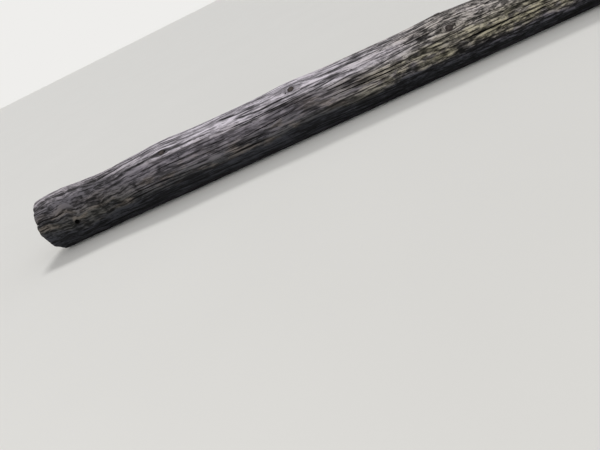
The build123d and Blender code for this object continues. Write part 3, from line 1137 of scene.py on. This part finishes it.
def knot_wood(finish):
    """End of a dead branch: harder and darker than the trunk, with tight rings, paler on the
    upper side and darker below like the wood round it, as bleaching and painted shade."""
    material = bpy.data.materials.new("knot_wood")
    material.diffuse_color = (*finish.knot, 1)
    node = fresh_nodes(material)
    ring_place = node("Attribute", attribute_name="ring").outputs["Vector"]
    depth, weather_and_shade = (
        node("Attribute", attribute_name=name).outputs["Fac"] for name in ("depth", "weather_and_shade"))
    blur = node("TexNoise", ring_place, 2.2, 3)
    flat = node("VectorMath", ring_place, (1, 1, 0), operation="MULTIPLY")
    out = node("VectorMath", flat, operation="LENGTH")
    # Rings about 2 mm apart on a knot of 16 mm radius
    ring = node("Math", blur, 0.25, out, operation="MULTIPLY_ADD")
    ring = node("Math", node("Math", ring, 8, operation="MULTIPLY"), operation="FRACT")
    pale, dark = ([share * v for v in finish.knot] for share in (1.25, 0.45))
    tone = node("ValToRGB", ring, stops=[(0.0, pale), (0.7, finish.knot), (0.9, dark), (1.0, pale)])
    # The last of these paints the knot paler on top and darker below, as bleaching and painted
    # shade
    for pattern, low, high, at_low, at_high in (
            (blur, 0.3, 0.7, 0.45, 1.25), (out, 0.15, 1.0, 1.15, 0.6),
            (weather_and_shade, -0.2, 0.9, 0.42, 1.25)):
        level = node("MapRange", pattern, low, high, at_low, at_high)
        tone = node("Mix", 1.0, tone, level, data_type="RGBA", blend_type="MULTIPLY")
    # Painted shade: the knot's side below its rim, in the gap of its socket, is near black
    sunk = node("MapRange", depth, -0.1 * mm, 3 * mm)
    tone = node("Mix", sunk, tone, finish.inside, data_type="RGBA")
    bare_wood_shader(node, tone, ring, 0.5 * mm)
    return material


def dress(piece, material, sharp_angle):
    """Give a piece its one material, and smooth shading but for edges sharper than the angle."""
    piece.data.shade_smooth()
    piece.data.set_sharp_from_angle(angle=radians(sharp_angle))
    piece.data.materials.clear()
    piece.data.materials.append(material)


# Operators


class POLE_OT_shaft(bpy.types.Operator):
    """Build the weathered trunk with its checks, sockets, gain and bolt holes"""

    bl_idname = "pole.shaft"
    bl_label = "Trunk"

    def execute(self, context):
        trunk, knot = context.scene.pole_trunk, context.scene.pole_knots
        shaft = joined_mesh("pole_trunk", [closed_surface(shaft_grid(trunk))])
        sockets = [socket_shape(trunk, knot, place, angle, radius, knot.depth, socket_seed + number)
                   for number, (_, place, angle, radius) in enumerate(knots)]
        place, angle, diameter, depth = knot_hole
        sockets.append(socket_shape(trunk, knot, place * mm, radians(angle),
                                    diameter * mm / 2, depth * mm, socket_seed - 1))
        wedges = [
            wedge(trunk, *check_path(*check, check_seed + number))
            for number, check in enumerate(checks + small_checks + fine_checks(fine_check_count))]
        for end, inward, group, seed in (
                (0.0, 1, butt_checks, butt_seed), (pole_length, -1, top_checks, top_seed)):
            wedges += [end_wedge(trunk, end, inward, *check, seed + number)
                       for number, check in enumerate(group)]
        holes = [pit_shape(trunk, knot, *pit, pit_seed + number) for number, pit in enumerate(pits)]
        for name, shapes in (("sockets", sockets), ("framing", framing_shapes(trunk)),
                             ("checks", wedges), ("pits", holes)):
            cut(shaft, joined_mesh(name, shapes))
        wood_attributes(trunk, shaft.data)
        dress(shaft, weathered_softwood(context.scene.pole_finish), sharp_wood_edge)
        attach(shaft, "root")
        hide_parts("pole_shaft")
        return {"FINISHED"}


class POLE_OT_splinters(bpy.types.Operator):
    """Raise splinters along the checks and here and there on the trunk"""

    bl_idname = "pole.splinters"
    bl_label = "Splinters"

    def execute(self, context):
        trunk = context.scene.pole_trunk
        slivers = joined_mesh("raised_splinters", [
            splinter(trunk, *values) for values in splinter_places(trunk, splinter_count)])
        wood_attributes(trunk, slivers.data, raised=1.4)
        dress(slivers, bpy.data.materials["weathered_softwood"], sharp_wood_edge)
        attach(slivers, "root")
        return {"FINISHED"}


class POLE_OT_knots(bpy.types.Operator):
    """Set the dead branches into their sockets"""

    bl_idname = "pole.knots"
    bl_label = "Knots"

    def execute(self, context):
        trunk, knot = context.scene.pole_trunk, context.scene.pole_knots
        shapes, rings, depths = zip(*(
            knot_shape(trunk, knot, place, angle, radius, seed)
            for seed, (_, place, angle, radius) in enumerate(knots, start=1)))
        plugs = joined_mesh("dead_knots", shapes)
        _, angle, _ = trunk_coordinates(trunk, mesh_points(plugs.data))
        store(plugs.data, "ring", np.concatenate(rings), "FLOAT_VECTOR")
        store(plugs.data, "depth", np.concatenate(depths))
        store(plugs.data, "weather_and_shade", np.sin(angle))
        dress(plugs, knot_wood(context.scene.pole_finish), sharp_knot_edge)
        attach(plugs, "root")
        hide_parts(*[name for name, _, _, _ in knots])
        return {"FINISHED"}


class POLE_OT_stage(bpy.types.Operator):
    """Lay the pale floor, hang the lamps and stand the camera where the photograph was taken"""

    bl_idname = "pole.stage"
    bl_label = "Stage"

    def execute(self, context):
        scene, stage = context.scene, context.scene.pole_stage
        half = stage.floor_size
        mesh = bpy.data.meshes.new("studio_floor")
        mesh.from_pydata([(-half, -half, 0), (half, -half, 0), (half, half, 0), (-half, half, 0)],
                         [], [(0, 1, 2, 3)])
        floor = bpy.data.objects.new("studio_floor", mesh)
        scene.collection.objects.link(floor)
        paint = bpy.data.materials.new("matt_floor_paint")
        node = fresh_nodes(paint)
        mottle = node("TexNoise", node("TexCoord").outputs["Object"], 1.5)
        level = node("MapRange", mottle, 0, 1, 0.985, 1.015)
        tone = node("Mix", 1.0, stage.floor_colour, level,
                    data_type="RGBA", blend_type="MULTIPLY")
        node("OutputMaterial", node("BsdfDiffuse", tone, 1.0))
        mesh.materials.append(paint)

        # The camera, glossy and see-through rays meet the pale backdrop, all others the soft light
        scene.world = bpy.data.worlds.new("studio")
        node = fresh_nodes(scene.world)
        rays = node("LightPath").outputs
        seen = rays["Is Camera Ray"]
        for kind in ("Is Glossy Ray", "Is Transmission Ray"):
            seen = node("Math", seen, rays[kind], operation="MAXIMUM")
        sky = node("Background", (1, 1, 1), stage.sky_strength)
        backdrop = node("Background", stage.backdrop_colour, 1.0)
        node("OutputWorld", node("MixShader", seen, sky, backdrop))

        for name, strength, towards, softness in (
                ("key", stage.key_strength, (0.22, 0.55, 1.0), 14),
                ("fill", stage.fill_strength, (-0.35, -1.0, 0.75), 50)):
            lamp = bpy.data.lights.new(name, "SUN")
            lamp.energy = strength
            lamp.angle = radians(softness)
            holder = bpy.data.objects.new(name, lamp)
            holder.rotation_euler = Vector(towards).to_track_quat("Z", "Y").to_euler()
            scene.collection.objects.link(holder)

        turn, drop, roll = stage.camera_azimuth, stage.camera_elevation, stage.camera_roll
        forward = Vector((-sin(turn) * cos(drop), cos(turn) * cos(drop), -sin(drop)))
        level_right = Vector((cos(turn), sin(turn), 0))
        level_up = level_right.cross(forward)
        right = level_right * cos(roll) + level_up * sin(roll)
        up = level_up * cos(roll) - level_right * sin(roll)
        camera = bpy.data.cameras.new("camera")
        camera.lens = stage.camera_lens
        camera.sensor_width = 36
        camera.clip_start = 0.01
        camera.clip_end = 500
        holder = bpy.data.objects.new("camera", camera)
        turned = Matrix((right, up, -forward)).transposed()
        holder.matrix_world = Matrix.Translation(stage.camera_place) @ turned.to_4x4()
        scene.collection.objects.link(holder)
        scene.camera = holder
        scene.view_settings.view_transform = "Standard"
        return {"FINISHED"}


class POLE_PT_panel(bpy.types.Panel):
    """Lists the pole's operators and settings"""

    bl_idname = "POLE_PT_panel"
    bl_label = "Weathered pole"
    bl_space_type = "VIEW_3D"
    bl_region_type = "UI"
    bl_category = "Pole"

    def draw(self, context):
        scene = context.scene
        for operator in operators:
            self.layout.operator(operator.bl_idname)
        for group in (scene.pole_trunk, scene.pole_knots, scene.pole_finish, scene.pole_stage):
            box = self.layout.box()
            for name in group.__annotations__:
                box.prop(group, name)


operators = (POLE_OT_shaft, POLE_OT_splinters, POLE_OT_knots, POLE_OT_stage)
settings = {
    "pole_trunk": TrunkSettings,
    "pole_knots": KnotSettings,
    "pole_finish": FinishSettings,
    "pole_stage": StageSettings,
}


def register():
    for group in settings.values():
        bpy.utils.register_class(group)
    for kind in (*operators, POLE_PT_panel):
        bpy.utils.register_class(kind)
    for name, group in settings.items():
        setattr(bpy.types.Scene, name, PointerProperty(type=group))


def unregister():
    for name in settings:
        delattr(bpy.types.Scene, name)
    for kind in (POLE_PT_panel, *reversed(operators)):
        bpy.utils.unregister_class(kind)
    for group in settings.values():
        bpy.utils.unregister_class(group)


def main():
    register()
    bpy.ops.pole.shaft()
    bpy.ops.pole.splinters()
    bpy.ops.pole.knots()
    bpy.ops.pole.stage()


if __name__ == "__main__":
    main()
